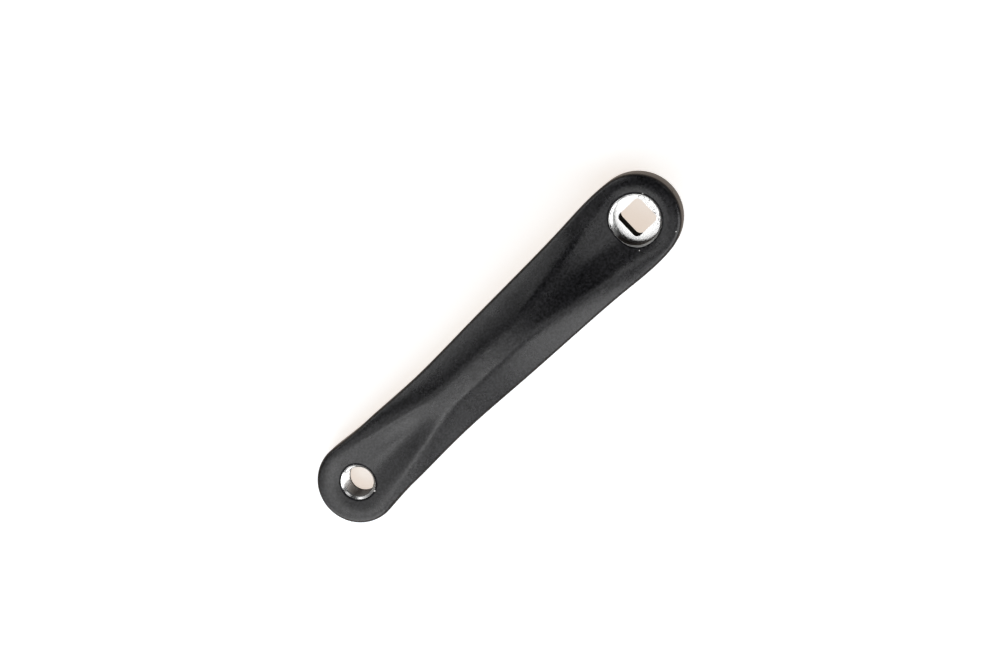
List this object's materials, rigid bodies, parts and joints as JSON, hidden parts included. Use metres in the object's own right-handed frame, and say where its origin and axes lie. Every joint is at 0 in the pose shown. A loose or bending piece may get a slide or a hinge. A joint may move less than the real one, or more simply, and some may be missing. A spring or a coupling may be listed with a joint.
{
  "type": "bicycle crank arm",
  "caption": "Left-hand bicycle crank arm in satin black, with a threaded recess over a tapered square socket at the boss and a threaded hole at the pedal eye.",
  "frame": {"origin": "on the spindle axis, at the boss's inner face", "axes": "+Z outboard along the spindle axis, +X along the arm to the pedal axis"},
  "size_m": [0.2032, 0.0398, 0.0408],
  "materials": {
    "black_paint": "satin black paint with a fine grain over forged aluminium; the holes are bare machined metal"
  },
  "bodies": {
    "root": {"crank_arm": "black_paint"}
  },
  "joints": []
}
